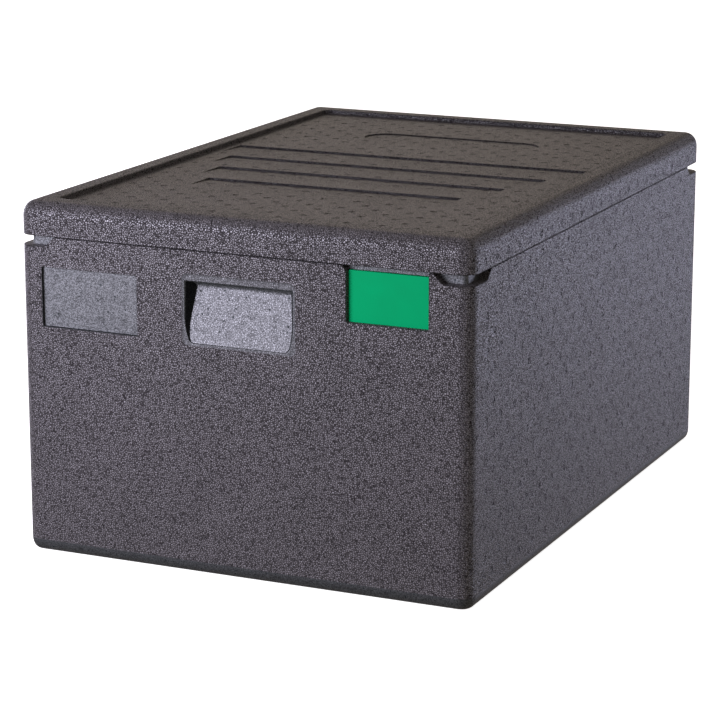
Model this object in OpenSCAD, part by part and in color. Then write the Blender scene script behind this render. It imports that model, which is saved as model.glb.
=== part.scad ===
// Insulated food carrier: a top-loading box of moulded bead foam with a lift-off lid.
// Millimetres. +Z is up and the origin is at the bottom centre of the base.
// The long side runs along Y. The short end with the named front card faces -Y.

/* [Overall size] */
// Width across a short end
body_w = 485; // [460:1:540]
// Length of the long side
body_l = 685; // [640:1:760]
// Height with the lid on
body_h = 360; // [300:1:420]
// Radius of the upright outer corners
corner_r = 15; // [12:1:18]
// Radius round the lower outer edge of the tub
base_edge_r = 9; // [4:1:12]
// Radius round the upper outer edge of the lid
lid_edge_r = 14; // [6:1:16]

/* [Walls and base] */
// Thickness of the four walls at the cavity
wall_t = 37.5; // [36:0.5:45]
// Thickness of the floor above the base
floor_t = 31; // [20:1:40]
// Radius of the upright corners of the cavity
cavity_r = 16; // [10:1:40]
// Height of the stacking plinth below the tub
plinth_h = 1; // [1:0.5:4.5]

/* [Lid] */
// Height of the lid's side above the seam
lid_h = 34; // [30:1:40]
// Width of the raised rim round the lid's top
rim_w = 29; // [24:1:34]
// Depth of the lid's top panel below the rim
panel_drop = 5; // [5:0.5:7]
// Depth of the plug that reaches down into the cavity
plug_depth = 8; // [4:1:14]
// Visible gap between the lid's skirt and the tub
seam_gap = 0.4; // [0.2:0.1:1]

/* [Rim tongue] */
// Inset of the tongue's outer face from the outer wall
tongue_inset = 9.5; // [9.5:0.5:11]
// Width of the tongue
tongue_w = 14.5; // [10:0.5:16]
// Height of the tongue above the tub's outer rim
tongue_h = 12; // [8:1:14]
// Clearance between the tongue and the lid's groove
tongue_clearance = 0.4; // [0.3:0.1:0.8]

/* [Lid steps] */
// Number of wedge-shaped steps in the lid's panel
step_count = 4; // [1:1:5]
// Width of the widest step, at the rear
step_w = 408; // [340:2:412]
// Amount by which each step is narrower than the one behind it
step_taper = 41.5; // [20:0.5:50]
// Distance from one step to the next
step_pitch = 65.3; // [50:0.1:70]
// Depth of a step at its rear wall
step_depth = 2.2; // [1:0.1:4]
// Length over which a step's floor rises back to the panel
step_run = 43; // [30:1:48]
// Position along Y of the rearmost step's wall
step_rear_y = 70; // [40:1:90]

/* [Lid badge] */
// Length of the blank badge in the lid's panel
badge_w = 206; // [120:2:260]
// Width of the blank badge
badge_l = 50; // [20:1:60]
// Depth of the blank badge
badge_depth = 1.5; // [0.5:0.1:3]
// Position of the badge's centre along Y
badge_y = 187; // [160:1:220]

/* [Grips] */
// Width of a hand grip
grip_w = 118; // [100:1:140]
// Height of a hand grip
grip_h = 62; // [50:1:70]
// Height of a grip's upper edge above the floor
grip_top_z = 296; // [280:1:300]
// Depth of a grip at its upper end
grip_depth = 16; // [12:1:24]
// Height above a grip's lower edge at which its sides begin to curve in
grip_curve_h = 27; // [10:1:35]
// Amount by which each side has curved in at the lower edge
grip_curve_in = 8; // [3:1:12]
// Amount by which each side leans in from the opening to the full depth
grip_draft = 8.5; // [0:0.5:12]
// Height over which the back wall curls forward into the roof
grip_roof_h = 7.5; // [3:0.5:12]

/* [Label recess] */
// Width of the label recess
label_w = 106; // [80:1:110]
// Height of the label recess
label_h = 60; // [40:1:65]
// Depth of the label recess
label_depth = 3; // [2:0.5:6]
// Distance from the end's left edge to the recess
label_edge_gap = 26; // [20:1:40]
// Height of the recess's lower edge
label_z = 235.5; // [200:0.5:240]

/* [Identification card] */
// Width of the card
card_w = 83.4; // [70:0.1:90]
// Height of the card
card_h = 50; // [40:0.5:52]
// Thickness of the card
card_t = 4.6; // [1:0.1:4.6]
// Depth of the card's face behind the end face
card_face_depth = 4.6; // [2:0.1:4.6]
// Clearance between the card and its pocket
card_clearance = 0.3; // [0.2:0.1:0.5]
// Height of the pocket's lower edge
pocket_z = 271; // [265:1:280]
// Distance from the end's right edge to the pocket
pocket_edge_gap = 44.5; // [42:0.5:60]
// Size of the fingernail chamfer at the pocket's upper left
nail_chamfer = 5; // [2:0.5:8]

/* [Corner pry gaps] */
// Length of a pry gap along the short end, at the seam
gap_end_l = 40; // [30:1:42]
// Length of a pry gap along the long side, at the seam
gap_side_l = 46; // [30:1:60]
// Height of a pry gap below the seam
gap_h = 10; // [6:0.5:14]
// Amount by which a pry gap's sloping end shortens its floor
gap_slope = 10; // [4:1:14]

/* [Hidden] */

$fn = 64;
over = 1;              // how far a cutter runs past the surface that it opens
foam_grey = "#5d5b61"; // bead foam
card_green = "#00a370";

seam_z = body_h - lid_h;
tongue_top_z = seam_z + tongue_h;
panel_z = body_h - panel_drop;
floor_z = plinth_h + floor_t;
front_y = -body_l / 2;

cavity_w = body_w - 2 * wall_t;
cavity_l = body_l - 2 * wall_t;
cavity_floor_r = 8;    // round between the cavity's floor and its walls

panel_r = 9;           // corners of the lid's recessed panel
nest_clearance = 1.5;  // between a plinth and the lid rim that it stacks in

tongue_inner_inset = tongue_inset + tongue_w;
tongue_inner_r = 6;

grip_z = grip_top_z - grip_h;
grip_lip = 2;          // square part of the grip behind its opening
grip_roof_steps = 8;   // flats in the grip's curved roof
grip_side_r = (pow(grip_curve_h, 2) + pow(grip_curve_in, 2)) / (2 * grip_curve_in);
grip_band_h = 6;       // smooth band above the grip
grip_band_depth = 0.6;

label_x = -body_w / 2 + label_edge_gap + label_w / 2;
pocket_w = card_w + 2 * card_clearance;
pocket_x = body_w / 2 - pocket_edge_gap - pocket_w / 2;
pocket_depth = card_face_depth + card_t + card_clearance;
card_corner_r = 1;

// A rectangle centred on the origin, with round corners
module rounded_rect(w, l, r) {
    square([w - 2 * r, l], center = true);
    square([w, l - 2 * r], center = true);
    for (x = [-1, 1], y = [-1, 1])
        translate([x * (w / 2 - r), y * (l / 2 - r)]) circle(r);
}

// An upright block with round corners that stands from z0 to z1,
// inset from the outer wall all round
module inset_block(inset, r, z0, z1) {
    translate([0, 0, z0])
        linear_extrude(z1 - z0)
            rounded_rect(body_w - 2 * inset, body_l - 2 * inset, r);
}

// The outline of a bar seen from its end, with its own radius for its
// two lower corners and its two upper corners, where 0 leaves them square
module bar_outline(w, z0, z1, r_low, r_high) {
    translate([-w / 2, z0 + r_low]) square([w, z1 - z0 - r_low - r_high]);
    if (r_low > 0) bar_edge(w, z0 + r_low, r_low, z0);
    if (r_high > 0) bar_edge(w, z1 - r_high, r_high, z1 - r_high);
}

// The two round corners along one edge of a bar, and the strip between them
module bar_edge(w, centre_z, r, strip_z) {
    translate([-w / 2 + r, strip_z]) square([w - 2 * r, r]);
    for (x = [-1, 1]) translate([x * (w / 2 - r), centre_z]) circle(r);
}

// A block of the carrier's outer size, with round upright corners and
// round lower or upper edges
module outer_block(z0, z1, r_low, r_high) {
    intersection() {
        inset_block(0, corner_r, z0, z1);
        rotate([90, 0, 0])
            linear_extrude(body_l + 2 * over, center = true)
                bar_outline(body_w, z0, z1, r_low, r_high);
        rotate([90, 0, 90])
            linear_extrude(body_w + 2 * over, center = true)
                bar_outline(body_l, z0, z1, r_low, r_high);
    }
}

// The hollow that holds the food pans
module cavity() {
    intersection() {
        inset_block(wall_t, cavity_r, floor_z, tongue_top_z + over);
        rotate([90, 0, 0])
            linear_extrude(body_l, center = true)
                bar_outline(cavity_w, floor_z, body_h, cavity_floor_r, 0);
        rotate([90, 0, 90])
            linear_extrude(body_w, center = true)
                bar_outline(cavity_l, floor_z, body_h, cavity_floor_r, 0);
    }
}

// The upright ring that seals in the lid's groove
module tongue() {
    difference() {
        inset_block(tongue_inset, corner_r - tongue_inset, seam_z - over, tongue_top_z);
        inset_block(tongue_inner_inset, tongue_inner_r, seam_z, tongue_top_z + over);
    }
}

// One pry gap, at the corner of +X and +Y, with a slope at each end
module pry_gap() {
    difference() {
        intersection() {
            rotate([90, 0, 0])
                linear_extrude(body_l + 2 * over, center = true)
                    pry_gap_outline(body_w / 2, gap_end_l);
            rotate([90, 0, 90])
                linear_extrude(body_w + 2 * over, center = true)
                    pry_gap_outline(body_l / 2, gap_side_l);
        }
        inset_block(tongue_inset, corner_r - tongue_inset, floor_z, body_h);
    }
}

// A pry gap seen from the side: it runs back from the corner by its length
module pry_gap_outline(corner, length) {
    polygon([
        [corner + over, seam_z - gap_h],
        [corner - length + gap_slope, seam_z - gap_h],
        [corner - length, seam_z],
        [corner - length, seam_z + over],
        [corner + over, seam_z + over]
    ]);
}

// A cutter that goes straight into the front end, to the given depth
module end_cut(depth) {
    translate([0, front_y + depth, 0])
        rotate([90, 0, 0])
            linear_extrude(depth + over)
                children();
}

// The hand grip's hollow: its back wall slopes out to the lower edge, its
// sides lean in and its roof curls down to the back wall
module grip_hollow() {
    roof = [
        for (i = [0 : grip_roof_steps])
            let (turn = 90 * (1 - i / grip_roof_steps))
                [
                    grip_lip + (grip_depth - grip_lip) * sin(turn),
                    grip_top_z - grip_roof_h * (1 - cos(turn))
                ]
    ];
    intersection() {
        translate([0, front_y, 0])
            rotate([90, 0, 90])
                linear_extrude(grip_w, center = true)
                    polygon(concat([[0, grip_z]], roof, [[-over, grip_top_z], [-over, grip_z]]));
        translate([0, front_y, grip_z])
            linear_extrude(grip_h)
                grip_plan();
        end_cut(grip_depth + over) grip_outline();
    }
}

// The grip seen from above: its sides lean in towards the back
module grip_plan() {
    start = grip_lip / 2;
    lean = grip_draft / (grip_depth - start);
    front = grip_w / 2 + lean * (over + start);
    back = grip_w / 2 - lean * (grip_depth + over - start);
    polygon([[-front, -over], [front, -over], [back, grip_depth + over], [-back, grip_depth + over]]);
}

// The grip seen from the front: upright sides that curve in at the bottom
module grip_outline() {
    curve_z = grip_z + grip_curve_h;
    centre_x = grip_w / 2 - grip_side_r;
    translate([-grip_w / 2, curve_z]) square([grip_w, grip_h - grip_curve_h]);
    intersection() {
        translate([-grip_w / 2, grip_z]) square([grip_w, grip_curve_h]);
        for (side = [0, 1]) mirror([side, 0]) intersection() {
            translate([centre_x, curve_z]) circle(grip_side_r, $fn = 128);
            translate([-over, grip_z]) square([grip_w, grip_curve_h]);
        }
    }
}

// The pocket that holds an identification card, open at the seam
module card_pocket() {
    left = pocket_x - pocket_w / 2;
    end_cut(pocket_depth) {
        translate([left, pocket_z]) square([pocket_w, seam_z - pocket_z + over]);
        polygon([
            [left + over, seam_z - nail_chamfer],
            [left, seam_z - nail_chamfer],
            [left - nail_chamfer, seam_z],
            [left - nail_chamfer, seam_z + over],
            [left + over, seam_z + over]
        ]);
    }
}

// What is sunk into the front end: label recess, hand grip and card pocket
module end_features() {
    end_cut(label_depth)
        translate([label_x - label_w / 2, label_z]) square([label_w, label_h]);
    end_cut(grip_band_depth)
        translate([-grip_w / 2, grip_top_z]) square([grip_w, grip_band_h]);
    grip_hollow();
    card_pocket();
}

module tub() {
    color(foam_grey) difference() {
        union() {
            outer_block(plinth_h, seam_z, base_edge_r, 0);
            inset_block(rim_w + nest_clearance, panel_r, 0, floor_z);
            tongue();
        }
        cavity();
        for (x = [0, 1], y = [0, 1]) mirror([x, 0, 0]) mirror([0, y, 0]) pry_gap();
        for (turn = [0, 180]) rotate(turn) end_features();
    }
}

// One step in the lid's panel: a low wall at the rear and a floor that
// rises to the front
module lid_step(index) {
    rear_y = step_rear_y - index * step_pitch;
    rotate([90, 0, 90])
        linear_extrude(step_w - index * step_taper, center = true)
            polygon([
                [rear_y, panel_z - step_depth],
                [rear_y, panel_z + over],
                [rear_y - step_run, panel_z + over],
                [rear_y - step_run, panel_z]
            ]);
}

// The blank badge: a shallow recess with round ends
module badge() {
    translate([0, badge_y, panel_z - badge_depth])
        linear_extrude(badge_depth + over) {
            square([badge_w - badge_l, badge_l], center = true);
            for (x = [-1, 1]) translate([x * (badge_w - badge_l) / 2, 0]) circle(badge_l / 2);
        }
}

// The groove under the lid that drops over the tub's tongue
module lid_groove() {
    outer_inset = tongue_inset - tongue_clearance;
    inner_inset = tongue_inner_inset + tongue_clearance;
    difference() {
        inset_block(outer_inset, corner_r - outer_inset, seam_z - over, tongue_top_z);
        inset_block(inner_inset, tongue_inner_r - tongue_clearance, seam_z - 2 * over, tongue_top_z);
    }
}

module lid() {
    plug_inset = wall_t + tongue_clearance;
    color(foam_grey) difference() {
        union() {
            outer_block(seam_z + seam_gap, body_h, 0, lid_edge_r);
            inset_block(plug_inset, cavity_r - tongue_clearance, seam_z - plug_depth, seam_z + over);
        }
        lid_groove();
        inset_block(rim_w, panel_r, panel_z, body_h + over);
        for (i = [0 : step_count - 1]) lid_step(i);
        badge();
    }
}

// An identification card in the front pocket
module id_card() {
    translate([pocket_x, front_y + card_face_depth + card_t, pocket_z + card_h / 2])
        rotate([90, 0, 0])
            linear_extrude(card_t)
                rounded_rect(card_w, card_h, card_corner_r);
}

module front_id_card() {
    color(card_green) id_card();
}

module rear_id_card() {
    color(card_green) rotate(180) id_card();
}

tub();
lid();
front_id_card();
rear_id_card();
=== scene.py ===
"""The looks of the insulated food carrier: bead-foam tub and lid, and two identification cards.

Every mesh is drawn in millimetres, in the part's own frame, and scaled to metres at the end.
"""

import math

import bmesh
import bpy
import numpy as np
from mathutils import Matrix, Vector
from mathutils.geometry import delaunay_2d_cdt


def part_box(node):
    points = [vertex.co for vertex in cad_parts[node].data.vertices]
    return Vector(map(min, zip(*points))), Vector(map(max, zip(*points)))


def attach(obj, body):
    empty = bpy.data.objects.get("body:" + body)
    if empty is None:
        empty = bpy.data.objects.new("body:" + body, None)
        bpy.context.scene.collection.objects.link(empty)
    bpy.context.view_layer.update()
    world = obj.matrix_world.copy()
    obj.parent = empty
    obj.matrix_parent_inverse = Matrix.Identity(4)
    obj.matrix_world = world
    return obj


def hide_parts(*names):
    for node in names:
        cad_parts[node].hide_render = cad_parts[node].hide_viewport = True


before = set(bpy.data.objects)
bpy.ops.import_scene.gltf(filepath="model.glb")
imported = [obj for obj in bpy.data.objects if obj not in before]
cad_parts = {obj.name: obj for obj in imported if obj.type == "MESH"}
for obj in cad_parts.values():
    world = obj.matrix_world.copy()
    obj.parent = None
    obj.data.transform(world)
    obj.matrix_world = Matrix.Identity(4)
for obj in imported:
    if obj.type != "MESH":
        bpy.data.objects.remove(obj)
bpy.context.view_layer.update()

MM = 0.001

# ---------------------------------------------------------------- sizes, in millimetres


def box_mm(node):
    """The lowest and highest corner of a CAD node."""
    return [np.array(corner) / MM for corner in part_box(node)]


tub_high = box_mm("tub")[1]
lid_low, lid_high = box_mm("lid")
card_low, card_high = box_mm("front_id_card")

HALF_W = lid_high[0]
HALF_L = lid_high[1]
TOP = lid_high[2]
TONGUE_TOP = tub_high[2]
CORNER_R = 15.0

# Tub
BASE = 1.0                     # underside of the tub, above the plinth's own face
BASE_EDGE_IN = 7.0             # how far the tub's lower edge curves in
BASE_EDGE_UP = 12.0            # and how far up it reaches
PLUG_DEPTH = 8.0
SEAM = lid_low[2] + PLUG_DEPTH
WALL = 37.5                    # thickness of the tub's walls
FLOOR = 32.0                   # height of the cavity's floor
FLOOR_R = 8.0
CAVITY_R = 16.0
TONGUE_INSET = 9.5             # from the tub's outer face to the tongue's outer face
TONGUE_INNER = 24.0            # and to its inner face
TONGUE_INNER_R = 6.0
PLINTH_INSET = 30.5
PANEL_CORNER_R = 9.0
EDGE_R = 0.8                   # small round on the rim's and the skirt's edges
RIM_TURN = 1.8                 # how far a corner of the rim's profile is rounded

# Pry gaps at the four corners of the rim
GAP_H = 10.0
GAP_SLOPE = 10.0               # length of a gap's sloping end
GAP_END = 40.0                 # length of a gap along the short ends
GAP_SIDE = 46.0                # and along the long sides

# Lid
SEAM_GAP = 0.4                 # between the tub's rim and the lid's skirt
LID_CLEAR = 0.4                # at the tongue's two faces, and round the plug
LID_EDGE_IN = 13.6             # how far the lid's upper edge curves in
LID_EDGE_DOWN = 15.0           # and how far it curves down
RIM_W = 29.0
PANEL = TOP - 5.0
STEP_COUNT = 4
STEP_W = 408.0                 # width of the rear step
STEP_TAPER = 41.5              # how much narrower each next one is
STEP_PITCH = 65.3
STEP_REAR = 70.0               # where the rear step's wall is along Y
STEP_RUN = 43.0
STEP_DEPTH = 2.2
STEP_R = 1.2
BADGE = (206.0, 50.0, 187.0)   # length, width, and where its centre is along Y
BADGE_DEPTH = 1.5

# What is sunk into each end: label recess, hand grip in its patch, and card pocket.
# LABEL and PATCH are left, right, low and high, seen from outside.
LABEL = (-216.5, -110.5, 235.5, 295.5)
LABEL_DEPTH = 3.0
LABEL_R = 1.2
PATCH = (-60.2, 60.2, 232.8, 302.4)
PATCH_DEPTH = 0.6
PATCH_R = 5.0
GRIP_HALF_W = 58.4
GRIP_LOW = 234.0
GRIP_TOP = 296.0
GRIP_DEPTH = 16.0
GRIP_FOOT = PATCH_DEPTH + 0.4  # depth of the back wall's lower end
GRIP_SLOPE = (GRIP_DEPTH - GRIP_FOOT) / (GRIP_TOP - GRIP_LOW)
GRIP_BACK_IN = 8.5             # how far the back wall's sides are inside the mouth's
GRIP_ROOF = 7.5                # height over which the back wall curls forward into the roof
GRIP_CURVE_H = 27.0            # height over which the mouth's sides curve in
GRIP_CURVE_IN = 5.5
GRIP_FOOT_R = 4.0              # round at the two lower corners of the mouth
GRIP_MOUTH_R = 1.2             # and at the two upper ones
POCKET_GAP = 0.3
POCKET_LEFT = card_low[0] - POCKET_GAP
POCKET_RIGHT = card_high[0] + POCKET_GAP
POCKET_LOW = card_low[2]
NAIL_CHAMFER = 5.0
CARD_R = 2.0
CARD_EDGE_R = 0.45

# Steam-vent marks: small round dents in rows, left by the mould
VENT_R = 4.0
VENT_STEPS = 16
VENT_ROW = 17.0
INNER_VENT_ROW = 34.0          # inside the tub and under the lid
VENT_COLUMN = 36.0
BLOCK_ROW = 19.0               # in the label recess and the grip
BLOCK_COLUMN = 25.0
SIDE_VENT_DOWN = 25.0          # the single row on the lid's long sides, below the top
SIDE_VENT_COLUMN = 29.0
SIDE_VENT_ENDS = (30.5, 20.0)  # clear length at the row's two ends
VENT_MARGIN = 2.5              # clear foam between a vent and any edge
VENT_SHAPE = ((1.0, 0.0), (0.92, 0.28), (0.72, 0.34))   # share of the radius, and depth there
SHALLOW = 0.4                  # depth of a vent in the label recess and the grip, of a usual one

# How smooth a face's foam is: 0 is pebbled by its beads, 1 is a closed skin
BEADED, MOSTLY_SMOOTH, SMOOTH = 0.0, 0.7, 1.0
# How much darker than the foam round it, for each kind of small surface: a vent mark, and painted
# shade where little light falls in recesses, creases and low edges
VENT_SHADE = 0.36              # a vent mark
WALL_VENT_SHADE = 0.25         # a vent mark on the tub's outer walls
SMOOTH_VENT_FADE = 0.6         # how much fainter a vent mark is in a closed skin
LABEL_WALL_PAINTED_SHADE = 0.7             # painted shade on the label recess's walls
STEP_AND_EDGE_PAINTED_SHADE = 0.5           # painted shade on a low step or edge: the lid's steps and badge, the seam's rounds, the tub's lower edge
PANEL_WALL_PAINTED_SHADE = 0.3         # painted shade on the wall round the lid's panel
GRIP_SIDE_PAINTED_SHADE = 0.88         # painted shade on the grip's sides
GRIP_ROOF_PAINTED_SHADE = 0.3          # and lighter painted shade on the roof over its back wall

# ---------------------------------------------------------------- outlines


def soften(points, radius, steps=3):
    """A polyline with each inner corner replaced by an arc of about this radius."""
    points = [np.array(p, float) for p in points]
    out = [points[0]]
    for before, corner, after in zip(points, points[1:], points[2:]):
        reach_in = min(radius, np.linalg.norm(before - corner) / 2.001)
        reach_out = min(radius, np.linalg.norm(after - corner) / 2.001)
        start = corner + (before - corner) / np.linalg.norm(before - corner) * reach_in
        end = corner + (after - corner) / np.linalg.norm(after - corner) * reach_out
        for i in range(steps + 1):
            t = i / steps
            point = (1 - t) ** 2 * start + 2 * t * (1 - t) * corner + t * t * end
            if np.linalg.norm(point - out[-1]) > 0.02:
                out.append(point)
    out.append(points[-1])
    return out


def quarter_turn(steps):
    """Angles from 0 to 90 degrees, in radians."""
    return [math.radians(90 * i / steps) for i in range(steps + 1)]


def rounded_box(left, right, low, high, radius, steps=5):
    """A closed rectangle with round corners, anticlockwise from its lower left."""
    corners = ((left, low, 180), (right, low, 270), (right, high, 0), (left, high, 90))
    out = []
    for x, z, start in corners:
        centre_x = x + radius if x == left else x - radius
        centre_z = z + radius if z == low else z - radius
        for i in range(steps + 1):
            angle = math.radians(start + 90 * i / steps)
            out.append((centre_x + radius * math.cos(angle), centre_z + radius * math.sin(angle)))
    return out


def grip_half_width(z):
    """Half the width of the grip's mouth: upright sides that curve in towards the bottom."""
    curve_r = (GRIP_CURVE_H ** 2 + GRIP_CURVE_IN ** 2) / (2 * GRIP_CURVE_IN)
    fall = max(0.0, GRIP_LOW + GRIP_CURVE_H - z)
    return GRIP_HALF_W - curve_r + math.sqrt(curve_r ** 2 - fall ** 2)


def grip_back(z):
    """How deep the grip's sloping back wall is at height z."""
    return GRIP_FOOT + GRIP_SLOPE * (min(max(z, GRIP_LOW), GRIP_TOP) - GRIP_LOW)


def grip_outline(share, grow):
    """The grip's closed outline, anticlockwise: share 0 is its mouth and 1 its back wall."""
    low = GRIP_LOW - grow
    top = GRIP_TOP + grow - GRIP_ROOF * (1 - math.sqrt(1 - share ** 2))

    def half_width(z):
        foot = max(0.0, GRIP_FOOT_R - (z - low))
        rounding = GRIP_FOOT_R - math.sqrt(GRIP_FOOT_R ** 2 - foot ** 2)
        mouth = grip_half_width(max(GRIP_LOW, z)) + grow
        return mouth - share * GRIP_BACK_IN * grip_back(z) / GRIP_DEPTH - rounding

    heights = [low + GRIP_FOOT_R * (1 - math.cos(math.radians(15 * i))) for i in range(6)]
    heights += list(np.linspace(low + GRIP_FOOT_R, GRIP_LOW + GRIP_CURVE_H, 8))
    right = [(half_width(z), z) for z in heights]
    right.append((half_width(top), top))
    left = [(-x, z) for x, z in reversed(right)]
    return [tuple(p) for p in soften(left[-2:] + right + left[:-1], GRIP_MOUTH_R)[1:-1]]


class Path:
    """The carrier's outline in plan, anticlockwise from the front left.

    Each point knows which way is out. A side may have a profile: the points (u, z) of an edge
    that rises and falls along it. lean is then the way into the foam at each of them.
    """

    def __init__(self, half_w, half_l, radius, profiles=None, arc_steps=8):
        self.radius = radius
        self.sides, self.arcs = [], []
        centre, out, height, lean = [], [], [], []
        for side in range(4):
            normal = np.array(((0, -1), (1, 0), (0, 1), (-1, 0))[side], float)
            along = np.array((-normal[1], normal[0]))
            reach, distance = (half_w, half_l) if side % 2 == 0 else (half_l, half_w)
            reach, distance = reach - radius, distance - radius
            profile = profiles[side] if profiles else [(-reach, 0.0), (reach, 0.0)]
            first = len(centre)
            for (u, v), way in zip(profile, into_foam(profile)):
                centre.append(along * u + normal * distance)
                out.append(normal)
                height.append(v)
                lean.append((along * way[0], way[1]))
            self.sides.append((list(range(first, len(centre))), normal, along))
            for i in range(1, arc_steps):
                angle = math.pi / 2 * i / arc_steps
                centre.append(along * reach + normal * distance)
                out.append(normal * math.cos(angle) + along * math.sin(angle))
                height.append(profile[-1][1])
                lean.append((along * 0, -1.0))
            self.arcs.append(list(range(self.sides[-1][0][-1], len(centre))))
        count = len(centre)
        for arc in self.arcs:
            arc.append((arc[-1] + 1) % count)
        self.centre, self.out = np.array(centre), np.array(out)
        self.height = np.array(height)
        self.lean_along = np.array([l[0] for l in lean])
        self.lean_up = np.array([l[1] for l in lean])

    def ring(self, inset, z=None, into=0.0):
        """The path moved in by inset, at height z, or along its profile moved into the foam."""
        flat = self.centre + self.out * (self.radius - inset) + self.lean_along * into
        up = self.height + self.lean_up * into if z is None else np.full(len(flat), z)
        return np.column_stack((flat, up))


def into_foam(profile):
    """For each point of a profile, the unit direction to its right, which is into the foam."""
    points = np.array(profile, float)
    step = np.diff(points, axis=0)
    step /= np.linalg.norm(step, axis=1)[:, None]
    right = np.column_stack((step[:, 1], -step[:, 0]))
    ways = np.vstack((right[:1], right[:-1] + right[1:], right[-1:]))
    return ways / np.linalg.norm(ways, axis=1)[:, None]


def along_wall(along):
    """Turns a point of an upright wall into how far along it is, and how high."""
    return lambda point: (np.dot(point[:2], along), point[2])


def inside(points, segments):
    """Which points lie inside closed loops given as segments, by counting crossings."""
    x, y = points[:, :1], points[:, 1:]
    ax, ay, bx, by = segments.T
    spans = (ay > y) != (by > y)
    rise = np.where(by == ay, 1.0, by - ay)
    crossing = ax + (y - ay) * (bx - ax) / rise
    return (spans & (x < crossing)).sum(1) % 2 == 1


def distance_to(points, segments):
    """The distance from each point to the nearest segment."""
    a, b = segments[:, :2], segments[:, 2:]
    span = b - a
    length = np.maximum((span ** 2).sum(1), 1e-12)
    offset = points[:, None] - a
    t = np.clip((offset * span).sum(2) / length, 0, 1)
    return np.linalg.norm(offset - t[..., None] * span, axis=2).min(1)


def vent_grid(low, high, row=VENT_ROW):
    """Centres in staggered rows, symmetric about the middle of a rectangle."""
    rows = int((high[1] - low[1]) / row / 2)
    columns = int((high[0] - low[0]) / VENT_COLUMN / 2) + 1
    middle = ((low[0] + high[0]) / 2, (low[1] + high[1]) / 2)
    return [
        (middle[0] + (i + 0.5 * (j % 2)) * VENT_COLUMN, middle[1] + j * row)
        for j in range(-rows, rows + 1)
        for i in range(-columns, columns + 1)
    ]


def vent_block(middle_u, middle_z):
    """Centres of three level rows of four, as in the label recess and the grip."""
    return [
        (middle_u + BLOCK_COLUMN * i, middle_z + BLOCK_ROW * j)
        for j in (-1, 0, 1)
        for i in (-1.5, -0.5, 0.5, 1.5)
    ]


def vent_circle(a, b, share=1.0):
    """Points round the edge of a vent centred on (a, b), or at a share of its radius."""
    turns = [2 * math.pi * i / VENT_STEPS for i in range(VENT_STEPS)]
    r = VENT_R * share
    return [(a + r * math.cos(t), b + r * math.sin(t)) for t in turns]


# ---------------------------------------------------------------- meshes


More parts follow.
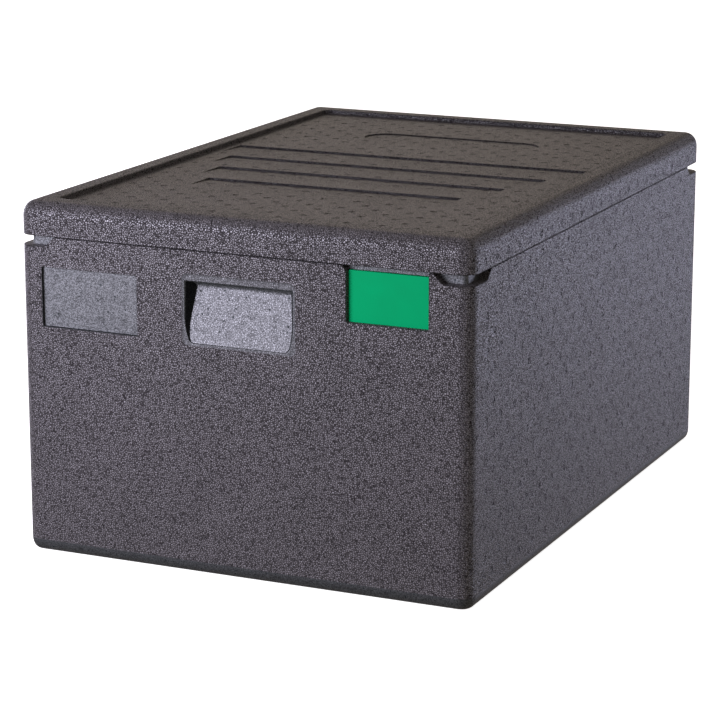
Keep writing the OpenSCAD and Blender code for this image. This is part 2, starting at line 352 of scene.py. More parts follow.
class Skin:
    """Points and faces of one closed moulding, in millimetres."""

    def __init__(self):
        # each face's finish, and how much darker it is painted: a vent mark, or painted shade
        self.points, self.faces, self.finish, self.vent_marks_and_painted_shade = [], [], [], []
        self.flat_normals = {}

    def ring(self, points):
        """Adds points, and returns their ids."""
        first = len(self.points)
        self.points.extend(np.array(p, float) for p in points)
        return list(range(first, len(self.points)))

    def face(self, ids, finish, shade=0.0):
        """Adds one face, with how smooth its foam is and how much darker it is painted: a vent mark,
        or painted shade.
        """
        self.faces.append(tuple(ids))
        self.finish.append(finish)
        self.vent_marks_and_painted_shade.append(shade)

    def strip(self, lower, upper, finish=BEADED, shade=0.0, closed=True):
        """Quads between two rings of the same number of points."""
        count = len(lower)
        for i in range(count if closed else count - 1):
            j = (i + 1) % count
            self.face((lower[i], lower[j], upper[j], upper[i]), finish, shade)

    def rings(self, shapes, finish=BEADED, shade=0.0):
        """Strips through a list of rings. Returns the first and the last ring's ids."""
        ids = [self.ring(shape) for shape in shapes]
        for lower, upper in zip(ids, ids[1:]):
            self.strip(lower, upper, finish, shade)
        return ids[0], ids[-1]

    def section(self, path, points, radius, steps=3, shade=0.0):
        """A path swept by a section of (inset, z) points with rounded corners."""
        return self.rings([path.ring(i, z) for i, z in soften(points, radius, steps)], shade=shade)

    def vent(self, a, b, place, finish, shade):
        """A round dent. Returns the ids round its edge."""
        circles = [
            self.ring(place(u, v, depth) for u, v in vent_circle(a, b, share))
            for share, depth in VENT_SHAPE
        ]
        self.strip(circles[0], circles[1], finish, shade)
        self.strip(circles[1], circles[2], finish, shade)
        self.face(circles[2], finish, shade)
        return circles[0]

    def fill(self, loops, flat, normal, place=None, vents=(), finish=BEADED, dent=VENT_SHADE):
        """Fills the flat region inside the first loop and outside the others.

        flat gives a point's two coordinates in the region, and place goes back from those and
        a depth to a point. vents are the centres of round dents, dropped where they don't fit,
        and dent is how much darker they are.
        """
        ids, edges = [], []
        for loop in loops:
            start = len(ids)
            ids += loop
            edges += [(start + i, start + (i + 1) % len(loop)) for i in range(len(loop))]
        points = np.array([flat(self.points[i]) for i in ids], float)
        border = np.hstack((points[[e[0] for e in edges]], points[[e[1] for e in edges]]))
        owner = [-1] * len(ids)
        vents = np.array(vents, float).reshape(-1, 2)
        if len(vents):
            vents = vents[inside(vents, border)]
        if len(vents):
            vents = vents[distance_to(vents, border) > VENT_R + VENT_MARGIN]
        for number, (a, b) in enumerate(vents):
            start = len(ids)
            ids += self.vent(a, b, place, finish, dent * (1 - SMOOTH_VENT_FADE * finish))
            owner += [number] * VENT_STEPS
            edges += [(start + i, start + (i + 1) % VENT_STEPS) for i in range(VENT_STEPS)]
            points = np.vstack((points, vent_circle(a, b)))
        corners, _, triangles, origin, _, _ = delaunay_2d_cdt(
            [Vector(p) for p in points], edges, [], 0, 1e-7)
        corners = np.array(corners)
        triangles = np.array(triangles)
        a, b, c = (corners[triangles[:, i]] for i in range(3))
        ab, ac = b - a, c - a
        solid = np.abs(ab[:, 0] * ac[:, 1] - ab[:, 1] * ac[:, 0]) > 1e-6
        keep = solid & inside((a + b + c) / 3, border)
        # every triangle but those inside a vent
        for triangle in triangles[keep]:
            sources = [origin[i][0] for i in triangle]
            owners = {owner[s] for s in sources}
            if len(owners) == 1 and owners != {-1}:
                continue
            self.face([ids[s] for s in sources], finish)
        for i in ids:
            self.flat_normals[i] = normal

    def level(self, loops, up, z=None, vents=()):
        """Fills a region that lies level. up is 1 for a face that looks up."""
        self.fill(loops, lambda point: point[:2], (0, 0, up),
                  lambda a, b, depth: (a, b, z - up * depth), vents)

    def walls(self, low_path, low, high_path, high, facing=1, dress=None, finish=BEADED,
              dent=VENT_SHADE):
        """Fills between two rings: strips round the corners, and flat sides.

        dress(side, at) gives a side's holes and vents. at turns (u, z, depth) there into a
        point. dent is how much darker the vents are, and facing is 1 for walls that look out.
        """
        for a, b in zip(low_path.arcs, high_path.arcs):
            self.strip([low[i] for i in a], [high[i] for i in b], finish, closed=False)
        for side in range(4):
            ids, normal, along = low_path.sides[side]
            lower = [low[i] for i in ids]
            upper = [high[i] for i in high_path.sides[side][0]]
            face = np.dot(self.points[lower[0]][:2], normal)

            def at(u, z, depth, face=face, normal=normal, along=along):
                flat = normal * (face - facing * depth) + along * u
                return (flat[0], flat[1], z)

            holes, vents = dress(side, at) if dress else ([], [])
            self.fill([lower + upper[::-1]] + holes, along_wall(along),
                      (normal[0] * facing, normal[1] * facing, 0), at, vents, finish, dent)

    def build(self, name, turn=None):
        """The mesh object, in metres, with its finishes, its vent marks and painted shade, and its
        normals.
        """
        mesh = bpy.data.meshes.new(name)
        points = np.array(self.points) * MM
        mesh.from_pydata(points.tolist(), [], self.faces)
        # the shade attribute carries how much darker each face is painted: vent marks and painted
        # shade
        for title, values in (("smooth_skin", self.finish), ("shade", self.vent_marks_and_painted_shade)):
            layer = mesh.attributes.new(title, "FLOAT", "FACE")
            layer.data.foreach_set("value", values)
        work = bmesh.new()
        work.from_mesh(mesh)
        bmesh.ops.recalc_face_normals(work, faces=work.faces)
        work.to_mesh(mesh)
        work.free()
        mesh.polygons.foreach_set("use_smooth", [True] * len(mesh.polygons))
        mesh.update()
        normals = np.array([n.vector for n in mesh.vertex_normals])
        for i, normal in self.flat_normals.items():
            normals[i] = normal
        mesh.normals_split_custom_set_from_vertices(normals.tolist())
        piece = bpy.data.objects.new(name, mesh)
        bpy.context.scene.collection.objects.link(piece)
        return piece


# ---------------------------------------------------------------- tub


def rim_profiles():
    """The tub's outer rim along each side, as (u, z) points: its pry gaps and card pocket."""
    floor = SEAM - GAP_H
    profiles = []
    for side in range(4):
        half = HALF_W if side % 2 == 0 else HALF_L
        gap = GAP_END if side % 2 == 0 else GAP_SIDE
        start = [(-half + CORNER_R, floor), (-half + gap - GAP_SLOPE, floor), (-half + gap, SEAM)]
        end = [(half - gap, SEAM), (half - gap + GAP_SLOPE, floor), (half - CORNER_R, floor)]
        pocket = []
        if side % 2 == 0:
            pocket = [
                (POCKET_LEFT - NAIL_CHAMFER, SEAM),
                (POCKET_LEFT, SEAM - NAIL_CHAMFER),
                (POCKET_LEFT, POCKET_LOW),
                (POCKET_RIGHT, POCKET_LOW),
                (POCKET_RIGHT, SEAM),
            ]
        profiles.append([tuple(p) for p in soften(start + pocket + end, RIM_TURN)])
    return profiles


def sink_label(skin, at):
    """The blank label recess's walls. Returns the ids round its edge and round its floor."""
    left, right, low, high = LABEL
    shapes = []
    for grow, depth in ((0.5, 0.0), (0.15, 0.15), (0.0, 0.5), (-0.1, LABEL_DEPTH - 0.4),
                        (-0.2, LABEL_DEPTH - 0.1), (-0.5, LABEL_DEPTH)):
        outline = rounded_box(left - grow, right + grow, low - grow, high + grow, LABEL_R + grow)
        shapes.append([at(u, z, depth) for u, z in outline])
    # the walls are painted darker: painted shade in the recess
    return skin.rings(shapes, SMOOTH, LABEL_WALL_PAINTED_SHADE)


def sink_grip(skin, at, normal, along):
    """The hand grip in its smooth patch. Returns the ids round the patch, in the end's face."""
    left, right, low, high = PATCH
    shapes = []
    for grow, depth in ((0.7, 0.0), (0.25, 0.12), (-0.1, PATCH_DEPTH - 0.1), (-0.6, PATCH_DEPTH)):
        outline = rounded_box(left - grow, right + grow, low - grow, high + grow, PATCH_R + grow)
        shapes.append([at(u, z, depth) for u, z in outline])
    edge, patch = skin.rings(shapes, MOSTLY_SMOOTH)
    rings = []
    for share, grow in ((0.0, 0.5), (0.03, 0.15), (0.12, 0.0), (0.5, -0.1), (0.75, -0.15),
                        (0.88, -0.2), (0.94, -0.25), (0.98, -0.3), (0.995, -0.35), (1.0, -0.6)):
        outline = grip_outline(share, grow)
        rings.append([at(u, z, PATCH_DEPTH + share * (grip_back(z) - PATCH_DEPTH))
                      for u, z in outline])
    mouth, wall = skin.rings(rings[:3], SMOOTH)
    walls = [wall] + [skin.ring(r) for r in rings[3:]]
    # painted shade: dark sides, and lighter painted shade on the roof over the back wall
    first = len(skin.faces)
    for nearer, deeper in zip(walls, walls[1:]):
        skin.strip(nearer, deeper, SMOOTH, GRIP_SIDE_PAINTED_SHADE)
    for i in range(first, len(skin.faces)):
        if min(skin.points[j][2] for j in skin.faces[i]) > GRIP_TOP - GRIP_ROOF - 1:
            skin.vent_marks_and_painted_shade[i] = GRIP_ROOF_PAINTED_SHADE
    back = walls[-1]
    skin.fill([patch, mouth], along_wall(along), (normal[0], normal[1], 0), finish=MOSTLY_SMOOTH)
    leaning = np.array((normal[0], normal[1], GRIP_SLOPE)) / math.hypot(1, GRIP_SLOPE)
    skin.fill([back], along_wall(along), tuple(leaning),
              lambda u, z, depth: at(u, z, grip_back(z) + depth * SHALLOW),
              vent_block(0, (GRIP_LOW + GRIP_TOP) / 2), SMOOTH)
    return edge


def tub():
    """The tub: its base, outer walls, rim, tongue and cavity."""
    skin = Skin()
    outer = Path(HALF_W, HALF_L, CORNER_R)
    rim = Path(HALF_W, HALF_L, CORNER_R, rim_profiles())
    plinth = Path(HALF_W - PLINTH_INSET, HALF_L - PLINTH_INSET, PANEL_CORNER_R)
    inner = Path(HALF_W - TONGUE_INNER, HALF_L - TONGUE_INNER, TONGUE_INNER_R)
    cavity = Path(HALF_W - WALL, HALF_L - WALL, CAVITY_R)

    # underside: the plinth, the flat round it, and the round lower edge
    plinth_top, plinth_face = skin.section(
        plinth, [(-1.5, BASE), (0, BASE), (0.5, 0), (3, 0)], 0.8)
    # the round lower edge is painted darker: painted shade under the tub
    underside, wall_low = skin.rings(
        [outer.ring(BASE_EDGE_IN * (1 - math.sin(t)), BASE + BASE_EDGE_UP * (1 - math.cos(t)))
         for t in quarter_turn(7)], SMOOTH, STEP_AND_EDGE_PAINTED_SHADE)
    skin.level([underside, plinth_top], -1)
    skin.level([plinth_face], -1, 0, vent_grid((-HALF_W, -HALF_L), (HALF_W, HALF_L)))

    # the outer rim, from the wall over its edge to the foot of the tongue
    # the round over the rim's edge is painted darker: painted shade along the seam
    wall_high, rim_edge = skin.rings([
        rim.ring(EDGE_R * (1 - math.cos(t)), into=EDGE_R * (1 - math.sin(t)))
        for t in quarter_turn(3)
    ], shade=STEP_AND_EDGE_PAINTED_SHADE)
    rim_flat, tongue_foot = skin.rings([
        rim.ring(TONGUE_INSET - 0.5, into=0),
        rim.ring(TONGUE_INSET - 0.15, into=-0.15),
        rim.ring(TONGUE_INSET, into=-0.5),
    ])
    skin.strip(rim_edge, rim_flat)

    def dress(side, at):
        normal, along = outer.sides[side][1:]
        if side % 2:
            return [], vent_grid((-HALF_L, 0), (HALF_L, SEAM))
        label, label_floor = sink_label(skin, at)
        left, right, low, high = LABEL
        skin.fill([label_floor], along_wall(along), (normal[0], normal[1], 0),
                  lambda u, z, depth: at(u, z, LABEL_DEPTH + depth * SHALLOW),
                  vent_block((left + right) / 2, (low + high) / 2), SMOOTH)
        return [label, sink_grip(skin, at, normal, along)], []

    skin.walls(outer, wall_low, rim, wall_high, dress=dress, dent=WALL_VENT_SHADE)

    # the tongue, the shelf behind it, and the cavity
    tongue_low, tongue_edge = skin.section(
        outer, [(TONGUE_INSET, TONGUE_TOP - 1.2), (TONGUE_INSET, TONGUE_TOP),
                (TONGUE_INSET + 1.2, TONGUE_TOP)], 1.1)
    skin.walls(rim, tongue_foot, outer, tongue_low, finish=SMOOTH)
    inner_top, shelf_out = skin.section(
        inner, [(-1.2, TONGUE_TOP), (0, TONGUE_TOP), (0, SEAM), (1.2, SEAM)], 1.1)
    skin.level([tongue_edge, inner_top], 1)
    mouth, cavity_high = skin.section(
        cavity, [(-2, SEAM), (0, SEAM), (0, SEAM - 2)], 1.9)
    skin.level([shelf_out, mouth], 1)
    cavity_low, floor = skin.section(
        cavity, [(0, FLOOR + FLOOR_R + 0.5), (0, FLOOR), (FLOOR_R + 0.5, FLOOR)], FLOOR_R, 6)

    def dress_cavity(side, at):
        reach = (HALF_L if side % 2 else HALF_W) - WALL
        return [], vent_grid((-reach, FLOOR), (reach, SEAM), INNER_VENT_ROW)

    skin.walls(cavity, cavity_low, cavity, cavity_high, facing=-1, dress=dress_cavity)
    skin.level([floor], 1, FLOOR, vent_grid((-HALF_W + WALL, -HALF_L + WALL),
                                            (HALF_W - WALL, HALF_L - WALL), INNER_VENT_ROW))
    return skin.build("foam_tub")


# ---------------------------------------------------------------- lid


def step_drop(y, rear):
    """How deep a step's floor is at y, for a step whose wall is at rear."""
    return STEP_DEPTH * max(0.0, (y - (rear - STEP_RUN)) / STEP_RUN)


def sink_step(skin, index):
    """One wedge-shaped step. Returns the ids round it, in the panel."""
    rear = STEP_REAR - index * STEP_PITCH
    half = (STEP_W - index * STEP_TAPER) / 2
    shapes = []
    for grow, share in ((0.5, 0.0), (0.15, 0.1), (-0.1, 0.5), (-0.35, 0.9), (-0.9, 1.0)):
        outline = rounded_box(-half - grow, half + grow, rear - STEP_RUN - grow, rear + grow,
                              STEP_R + grow, 3)
        shapes.append([(x, y, PANEL - share * step_drop(y, rear)) for x, y in outline])
    # the step's edge is painted darker: painted shade in the step
    edge, floor = skin.rings(shapes, shade=STEP_AND_EDGE_PAINTED_SHADE)
    tilt = STEP_DEPTH / STEP_RUN
    leaning = np.array((0, tilt, 1)) / math.hypot(1, tilt)
    skin.fill([floor], lambda point: point[:2], tuple(leaning),
              lambda x, y, depth: (x, y, PANEL - step_drop(y, rear) - depth), panel_vents())
    return edge


def sink_badge(skin):
    """The blank badge, a shallow recess with round ends. Returns the ids round it."""
    length, width, y = BADGE
    shapes = []
    for grow, depth in ((0.8, 0.0), (0.3, 0.2), (0.0, 0.75), (-0.3, 1.3), (-0.8, BADGE_DEPTH)):
        outline = rounded_box(-length / 2 - grow, length / 2 + grow, y - width / 2 - grow,
                              y + width / 2 + grow, width / 2 + grow - 0.01, 12)
        shapes.append([(x, v, PANEL - depth) for x, v in outline])
    # the badge's edge is painted darker: painted shade in the recess
    edge, floor = skin.rings(shapes, shade=STEP_AND_EDGE_PAINTED_SHADE)
    skin.level([floor], 1, PANEL - BADGE_DEPTH, panel_vents())
    return edge


def panel_vents():
    """Centres of the vents over the lid's panel, in one grid that runs through its recesses."""
    return vent_grid((-HALF_W, -HALF_L), (HALF_W, HALF_L))


def lid():
    """The lid: its sides, rim and panel above, and its groove and plug below."""
    skin = Skin()
    outer = Path(HALF_W, HALF_L, CORNER_R)
    panel = Path(HALF_W - RIM_W, HALF_L - RIM_W, PANEL_CORNER_R)
    groove_in = TONGUE_INNER + LID_CLEAR
    groove = Path(HALF_W - groove_in, HALF_L - groove_in, TONGUE_INNER_R - LID_CLEAR)
    plug_in = WALL + LID_CLEAR
    plug = Path(HALF_W - plug_in, HALF_L - plug_in, CAVITY_R - LID_CLEAR)
    skirt = SEAM + SEAM_GAP
    groove_out = TONGUE_INSET - LID_CLEAR

    # the skirt's lower edge, the sides and the broad round upper edge
    # the skirt's lower edge is painted darker: painted shade along the seam
    skirt_out, side_low = skin.section(
        outer, [(EDGE_R, skirt), (0, skirt), (0, skirt + EDGE_R)], EDGE_R - 0.1,
        shade=STEP_AND_EDGE_PAINTED_SHADE)
    side_high, rim_out = skin.rings([
        outer.ring(LID_EDGE_IN * (1 - math.cos(t)), TOP - LID_EDGE_DOWN * (1 - math.sin(t)))
        for t in quarter_turn(10)])

    def dress(side, at):
        if side % 2 == 0:
            return [], []
        start, end = SIDE_VENT_ENDS
        row = np.arange(-HALF_L + start, HALF_L - end, SIDE_VENT_COLUMN)
        return [], [(u, TOP - SIDE_VENT_DOWN) for u in row]

    skin.walls(outer, side_low, outer, side_high, dress=dress)

    # the rim's top and the recessed panel
    # the panel's wall is painted darker: painted shade
    rim_in, panel_edge = skin.section(
        panel, [(-2, TOP), (0, TOP), (0.7, PANEL), (3, PANEL)], 1.8, shade=PANEL_WALL_PAINTED_SHADE)
    skin.level([rim_out, rim_in], 1)
    holes = [sink_step(skin, i) for i in range(STEP_COUNT)] + [sink_badge(skin)]
    skin.level([panel_edge] + holes, 1, PANEL, panel_vents())

    # underneath: the skirt, the groove over the tongue, and the plug
    skirt_in, groove_top_out = skin.section(
        outer, [(groove_out - 0.8, skirt), (groove_out, skirt), (groove_out, TONGUE_TOP),
                (groove_out + 0.8, TONGUE_TOP)], 0.7)
    skin.level([skirt_out, skirt_in], -1)
    groove_top_in, land_out = skin.section(
        groove, [(-0.8, TONGUE_TOP), (0, TONGUE_TOP), (0, skirt), (0.8, skirt)], 0.7)
    skin.level([groove_top_out, groove_top_in], -1)
    land_in, plug_face = skin.section(
        plug, [(-0.8, skirt), (0, skirt), (0.3, SEAM - PLUG_DEPTH), (2.5, SEAM - PLUG_DEPTH)], 1.6)
    skin.level([land_out, land_in], -1)
    skin.level([plug_face], -1, SEAM - PLUG_DEPTH,
               vent_grid((-HALF_W + plug_in, -HALF_L + plug_in),
                         (HALF_W - plug_in, HALF_L - plug_in), INNER_VENT_ROW))
    return skin.build("foam_lid")


# ---------------------------------------------------------------- identification cards


def id_card(name, node):
    """A card in the place of a CAD card: a thin plate with soft edges and round corners."""
    low, high = box_mm(node)
    middle = (low + high) / 2
    half_w, half_t, half_h = (high - low) / 2
    skin = Skin()
    plate = Path(half_w, half_h, CARD_R, arc_steps=6)
    flat = 2 * CARD_EDGE_R
    back, front = skin.section(
        plate, [(flat, -half_t), (0, -half_t), (0, half_t), (flat, half_t)], CARD_EDGE_R, 4)
    skin.level([back], -1)
    skin.level([front], 1)
    # the plate was drawn lying down: stand it up with its front outwards
    outwards = -1 if middle[1] < 0 else 1

    def stand(point):
        return np.array((-outwards * point[0], outwards * point[2], point[1]))

    skin.points = [stand(p) + middle for p in skin.points]
    skin.flat_normals = {i: tuple(stand(n)) for i, n in skin.flat_normals.items()}
    return skin.build(name)


# ---------------------------------------------------------------- materials


class Nodes:
    """A short way to write a material's node tree."""

    def __init__(self, name):
        self.material = bpy.data.materials.new(name)
        self.material.use_nodes = True
        self.tree = self.material.node_tree
        self.shader = self.tree.nodes["Principled BSDF"]
        self.place = self.add("TexCoord").outputs["Object"]

    def add(self, kind, inputs=None, **settings):
        """Adds a node, and wires or sets its inputs."""
        node = self.tree.nodes.new("ShaderNode" + kind)
        for name, value in settings.items():
            setattr(node, name, value)
        self.wire(node, inputs or {})
        return node

    def wire(self, node, inputs):
        """Wires a socket to each input, or sets the input to a plain value."""
        for name, value in inputs.items():
            if isinstance(value, bpy.types.NodeSocket):
                self.tree.links.new(value, node.inputs[name])
            else:
                node.inputs[name].default_value = value

    def noise(self, scale, detail, distortion=0.0):
        """The outputs of a noise over the object. scale is about its features a metre."""
        return self.add("TexNoise", {"Vector": self.place, "Scale": scale, "Detail": detail,
                                     "Distortion": distortion}).outputs

    def math(self, operation, a, b):
        """Two values added, subtracted or multiplied."""
        return self.add("Math", {0: a, 1: b}, operation=operation).outputs[0]

    def ramp(self, value, low, high, out_low=0.0, out_high=1.0):
        """A smooth step from out_low to out_high as value goes from low to high."""
        node = self.add("MapRange", {"Value": value, "From Min": low, "From Max": high,
                                     "To Min": out_low, "To Max": out_high})
        node.interpolation_type = "SMOOTHSTEP"
        return node.outputs["Result"]

    def mix(self, share, a, b):
        """A colour between two others."""
        node = self.add("Mix", data_type="RGBA")
        self.wire(node, {0: share, 6: a, 7: b})
        return node.outputs[2]

    def blend(self, share, a, b):
        """A value between two others."""
        return self.add("Mix", {0: share, 2: a, 3: b}).outputs[0]

    def one_minus(self, value):
        """What is left of 1 without value."""
        return self.math("SUBTRACT", 1.0, value)

    def grey(self, value):
        """A grey colour of this value."""
        return self.add("CombineColor", {0: value, 1: value, 2: value}).outputs[0]

    def shade(self, colour, factor):
        """One colour times another."""
        node = self.add("Mix", data_type="RGBA", blend_type="MULTIPLY")
        self.wire(node, {0: 1.0, 6: colour, 7: factor})
        return node.outputs[2]


# Foam. Pairs are the two ends of a range.
BEAD_SCALE = 510.0             # beads a metre
BEAD_SCATTER = 0.9             # 1 is beads of every size, 0 is an even grid
BEAD_BEND = 0.0012             # how far the beads' outlines are bent, in metres
DOME_REACH = 0.22              # how far in from its edge a bead's dome rises, in bead widths
SKIN_SEAM_REACH = 0.13         # and how far in a seam shows in the closed skin
SKIN_SEAM = 0.4                # how much it shows, as a share of the bead's colour
DOME_HEIGHT = 0.0005           # in metres
GRAIN_HEIGHT = 0.30            # in dome heights
SKIN_FLATNESS = 0.86           # how much flatter the closed skin is than the beads
SUNKEN_BEADS = (0.97, 0.985)   # chances over which a bead is sunken
SUNKEN_DEPTH = 0.6             # in dome heights
SUNKEN_DULLNESS = 0.5
PITS = (0.965, 0.98)           # chances over which a bead is a dull pit in the closed skin
PIT_EDGE = (0.08, 0.25)        # a pit's soft edge, in bead widths
GRAIN_SPREAD = (0.35, 0.65)    # the grain stays mostly between these
NOISE_SPREAD = (0.3, 0.7)      # and the other noises between these

# How much lighter or darker, and shinier or duller, the foam is from place to place
BEAD_TONES = (0.8, 1.2)        # from bead to bead
MOTTLE_TONES = (-0.06, 0.06)   # over a few centimetres, added to those
SKIN_TONES = (0.85, 1.15)      # from bead to bead in the closed skin
SKIN_SPECKLE = (0.6, 1.4)      # and within a bead there
BEAD_SHINE = (0.05, 0.5)       # in the seams and on the domes
SHINE_BY_BEAD = (0.85, 1.15)
SHINE_IN_BEAD = (0.7, 1.3)
SKIN_SHINE = (0.27, 0.69)
BEAD_ROUGHNESS = (0.62, 0.42)  # in the seams and on the domes


def foam(name, bead, seam, smooth):
    """Moulded bead foam: domed beads pressed together, darker where they meet."""
    n = Nodes(name)
    is_smooth = n.add("Attribute", attribute_name="smooth_skin").outputs["Fac"]
    # how much darker the mesh paints each face: vent marks, and painted shade in recesses, creases and
    # low edges
    dim_by_vent_marks_and_painted_shade = n.one_minus(n.add("Attribute", attribute_name="shade").outputs["Fac"])

    # the beads: how near a point is to its bead's edge, and three chances for each bead
    wobble = n.noise(scale=180.0, detail=1.0)["Color"]
    bent = n.add("MixRGB", {0: BEAD_BEND, 1: n.place, 2: wobble}, blend_type="ADD").outputs[0]
    beads = {"Vector": bent, "Scale": BEAD_SCALE, "Randomness": BEAD_SCATTER}
    edge = n.add("TexVoronoi", beads, feature="DISTANCE_TO_EDGE").outputs["Distance"]
    cell = n.add("TexVoronoi", beads)
    sinks, tint, glint = n.add("SeparateColor", {0: cell.outputs["Color"]}).outputs
    dome = n.ramp(edge, 0.0, DOME_REACH)
    skin_seam = n.ramp(edge, SKIN_SEAM_REACH, 0.0)
    sunken = n.ramp(sinks, *SUNKEN_BEADS)

    grain = n.noise(scale=800.0, detail=2.0)["Fac"]
    fine = n.noise(scale=1300.0, detail=1.0)["Fac"]
    mottle = n.noise(scale=14.0, detail=3.0)["Fac"]

    # the colour, pebbled and smooth
    tone = n.math("ADD", n.ramp(tint, 0.0, 1.0, *BEAD_TONES),
                  n.ramp(mottle, *NOISE_SPREAD, *MOTTLE_TONES))
    sunken_tone = n.math("MULTIPLY", sunken, SUNKEN_DULLNESS)
    tone = n.math("MULTIPLY", tone, n.one_minus(sunken_tone))
    pebbled = n.shade(n.mix(dome, seam, bead), n.grey(tone))
    speck = n.math("MULTIPLY", n.ramp(grain, *GRAIN_SPREAD, *SKIN_SPECKLE),
                   n.ramp(tint, 0.0, 1.0, *SKIN_TONES))
    closed = n.shade(n.mix(n.math("MULTIPLY", skin_seam, SKIN_SEAM), smooth, bead), n.grey(speck))
    # the vent marks and the painted shade darken the colour
    colour = n.shade(n.mix(is_smooth, pebbled, closed), n.grey(dim_by_vent_marks_and_painted_shade))

    # the relief
    height = n.math("SUBTRACT", dome, n.math("MULTIPLY", sunken, SUNKEN_DEPTH))
    height = n.math("ADD", height, n.math("MULTIPLY", grain, GRAIN_HEIGHT))
    flatter = n.one_minus(n.math("MULTIPLY", is_smooth, SKIN_FLATNESS))
    bump = n.add("Bump", {"Height": n.math("MULTIPLY", height, flatter), "Strength": 1.0,
                          "Distance": DOME_HEIGHT})

    # the shine: less in seams, in sunken beads and in the closed skin's pits
    bead_shine = n.math("MULTIPLY", n.ramp(dome, 0.0, 1.0, *BEAD_SHINE),
                        n.ramp(glint, 0.0, 1.0, *SHINE_BY_BEAD))
    bead_shine = n.math("MULTIPLY", bead_shine, n.ramp(fine, *NOISE_SPREAD, *SHINE_IN_BEAD))
    skin_shine = n.ramp(grain, *GRAIN_SPREAD, *SKIN_SHINE)
    pit = n.math("MULTIPLY", n.ramp(sinks, *PITS), n.ramp(edge, *PIT_EDGE))
    dull = n.blend(is_smooth, sunken_tone, pit)
    shine = n.math("MULTIPLY", n.blend(is_smooth, bead_shine, skin_shine), n.one_minus(dull))

    # the vent marks and the painted shade also dim the shine
    n.wire(n.shader, {
        "Base Color": colour,
        "Roughness": n.ramp(dome, 0.0, 1.0, *BEAD_ROUGHNESS),
        "Specular IOR Level": n.math("MULTIPLY", shine, dim_by_vent_marks_and_painted_shade),
        "IOR": 1.8,
        "Normal": bump.outputs[0],
    })
    return n.material


# Card plastic: broad flow marks and a fine grain
FLOW_SPREAD = (0.25, 0.75)     # the flow marks stay mostly between these
FLOW_REACH = (0.2, 0.8)        # and nearly always between these
FLOW_TONES = (0.965, 1.035)
CARD_GRAIN_TONES = (0.985, 1.015)
FLOW_ROUGHNESS = (0.52, 0.60)
FLOW_HEIGHT = 0.6              # of the grain's height
CARD_RELIEF = 0.0002           # in metres
CARD_RELIEF_STRENGTH = 0.12
CARD_SHINE = 0.03


def card_plastic(name, colour):
    """Moulded plastic with a satin face: faint flow marks and a fine grain."""
    n = Nodes(name)
    flow = n.noise(scale=28.0, detail=3.0, distortion=0.6)["Fac"]
    grain = n.noise(scale=3200.0, detail=2.0)["Fac"]
    tone = n.math("MULTIPLY", n.ramp(flow, *FLOW_SPREAD, *FLOW_TONES),
                  n.ramp(grain, *NOISE_SPREAD, *CARD_GRAIN_TONES))
    height = n.math("ADD", grain, n.math("MULTIPLY", flow, FLOW_HEIGHT))
    bump = n.add("Bump", {"Height": height, "Strength": CARD_RELIEF_STRENGTH,
                          "Distance": CARD_RELIEF})
    n.wire(n.shader, {
        "Base Color": n.shade(colour, n.grey(tone)),
        "Roughness": n.ramp(flow, *FLOW_REACH, *FLOW_ROUGHNESS),
        "Specular IOR Level": CARD_SHINE,
        "Normal": bump.outputs[0],
    })
    return n.material


# ---------------------------------------------------------------- pieces

CHARCOAL = (0.098, 0.093, 0.100, 1)
DARK_SEAM = (0.022, 0.020, 0.021, 1)
CLOSED_SKIN = (0.034, 0.043, 0.045, 1)
GREEN = (0.0, 0.30, 0.105, 1)

foam_grey = foam("foam_charcoal", CHARCOAL, DARK_SEAM, CLOSED_SKIN)
green = card_plastic("card_green_plastic", GREEN)

for piece, body, node, slot, material in (
    (tub(), "tub", "tub", "foam_tub", foam_grey),
    (lid(), "lid", "lid", "foam_lid", foam_grey),
    (id_card("green_card_front", "front_id_card"), "front_card", "front_id_card", "card_green", green),
    (id_card("green_card_rear", "rear_id_card"), "rear_card", "rear_id_card", "card_green", green),
):
    piece.data.materials.append(material)
    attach(piece, body)
    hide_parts(node)

# ---------------------------------------------------------------- floor, lights and camera


def look_at(thing, target):
    """Turns a lamp to face a point."""
    thing.rotation_euler = (Vector(target) - thing.location).to_track_quat("-Z", "Y").to_euler()


def softbox(name, location, target, size, power, colour):
    """A rectangular lamp that the camera doesn't see."""
    light = bpy.data.lights.new(name, "AREA")
    light.shape = "RECTANGLE"
    light.size, light.size_y = size
    light.energy = power
    light.color = colour
    lamp = bpy.data.objects.new(name, light)
    lamp.location = location
    look_at(lamp, target)
    lamp.visible_camera = False
    bpy.context.scene.collection.objects.link(lamp)


# name, place, aim, width and height, power, colour
SOFTBOXES = (
    ("key_left", (-0.63, -1.42, 0.555), (0, -0.34, 0.28), (0.95, 0.8), 29, (0.84, 0.81, 1.0)),
    ("side_right", (2.25, 3.15, -0.15), (0.24, 0, 0.25), (2.1, 1.1), 57, (0.72, 0.745, 1.0)),
    ("fill_rear_left", (-2.3, 1.2, 0.30), (-0.24, 0.2, 0.2), (1.4, 1.1), 36, (0.84, 0.83, 1.0)),
    ("warm_rear", (-1.0, 2.2, 1.2), (0, 0, 0.36), (1.4, 0.8), 4, (1.0, 0.86, 0.72)),
)
ROOM = (0.32, 0.28, 0.25, 1)   # the dim, warm room round the studio
PAPER_DARK = (0.90, 0.90, 0.90, 1)
PAPER_LIGHT = (0.93, 0.93, 0.93, 1)


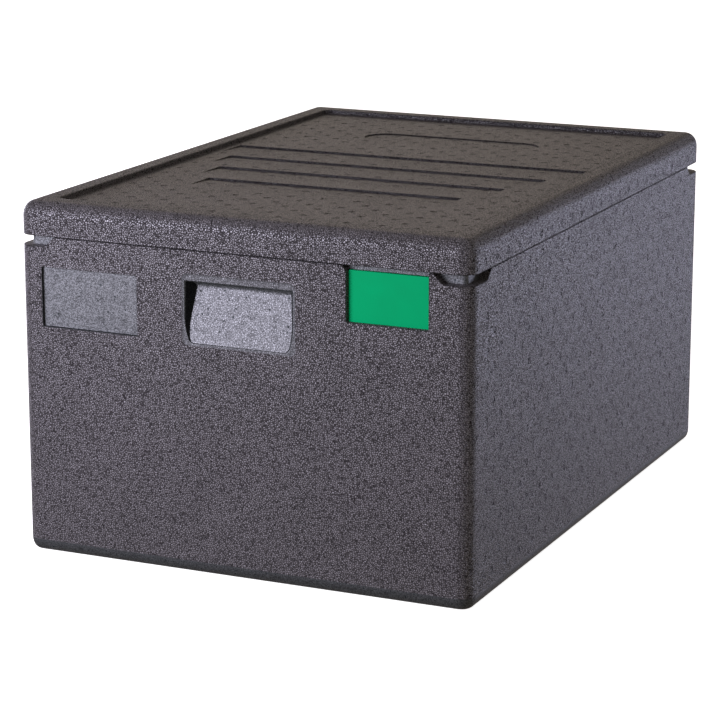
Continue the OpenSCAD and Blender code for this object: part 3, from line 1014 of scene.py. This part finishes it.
def sweep_of_paper():
    """The floor, curving up into a round backdrop far behind the carrier."""
    # radius and height, in metres
    profile = [(0.02, 0), (2, 0), (6, 0), (8, 0.25), (9.2, 1.0), (10, 2.5), (10.2, 6)]
    count = 64
    turns = [2 * math.pi * i / count for i in range(count)]
    points = [(r * math.cos(t), r * math.sin(t), z) for r, z in profile for t in turns]
    faces = []
    for i in range(len(profile) - 1):
        inner, outer = i * count, (i + 1) * count
        for j in range(count):
            k = (j + 1) % count
            faces.append((inner + j, inner + k, outer + k, outer + j))
    faces.append(tuple(range(count - 1, -1, -1)))
    mesh = bpy.data.meshes.new("floor")
    mesh.from_pydata(points, [], faces)
    mesh.polygons.foreach_set("use_smooth", [True] * len(mesh.polygons))
    floor = bpy.data.objects.new("floor", mesh)
    bpy.context.scene.collection.objects.link(floor)
    return floor


def studio():
    """The paper floor, the dim room and the lamps."""
    floor = sweep_of_paper()
    paper = Nodes("white_paper")
    fibre = paper.noise(scale=60.0, detail=4.0)["Fac"]
    pale = paper.mix(paper.ramp(fibre, *NOISE_SPREAD), PAPER_DARK, PAPER_LIGHT)
    paper.wire(paper.shader, {"Base Color": pale, "Roughness": 0.9, "Specular IOR Level": 0.2,
                              "Emission Color": pale, "Emission Strength": 1.0})
    floor.data.materials.append(paper.material)
    # the paper is only a backdrop: it throws no light back at the carrier
    floor.visible_diffuse = False
    floor.visible_glossy = False
    floor.visible_shadow = False

    room = bpy.data.worlds.new("dim_room")
    room.use_nodes = True
    room.node_tree.nodes["Background"].inputs["Color"].default_value = ROOM
    bpy.context.scene.world = room

    for light in SOFTBOXES:
        softbox(*light)
    bpy.context.scene.view_settings.view_transform = "Standard"


CAMERA_LENS = 137.0            # on a 36 mm wide sensor
CAMERA_PLACE = (1.162, -2.623, 0.860)
CAMERA_DOWN = 13.99            # degrees below level
CAMERA_TURN = 24.38            # degrees to the left of +Y


def photo_camera():
    """The photograph's viewpoint: to the right of the front end, looking a little down."""
    camera = bpy.data.objects.new("camera", bpy.data.cameras.new("camera"))
    camera.data.sensor_width = 36.0
    camera.data.lens = CAMERA_LENS
    camera.location = CAMERA_PLACE
    camera.rotation_euler = (math.radians(90 - CAMERA_DOWN), 0, math.radians(CAMERA_TURN))
    bpy.context.scene.collection.objects.link(camera)
    bpy.context.scene.camera = camera


studio()
photo_camera()
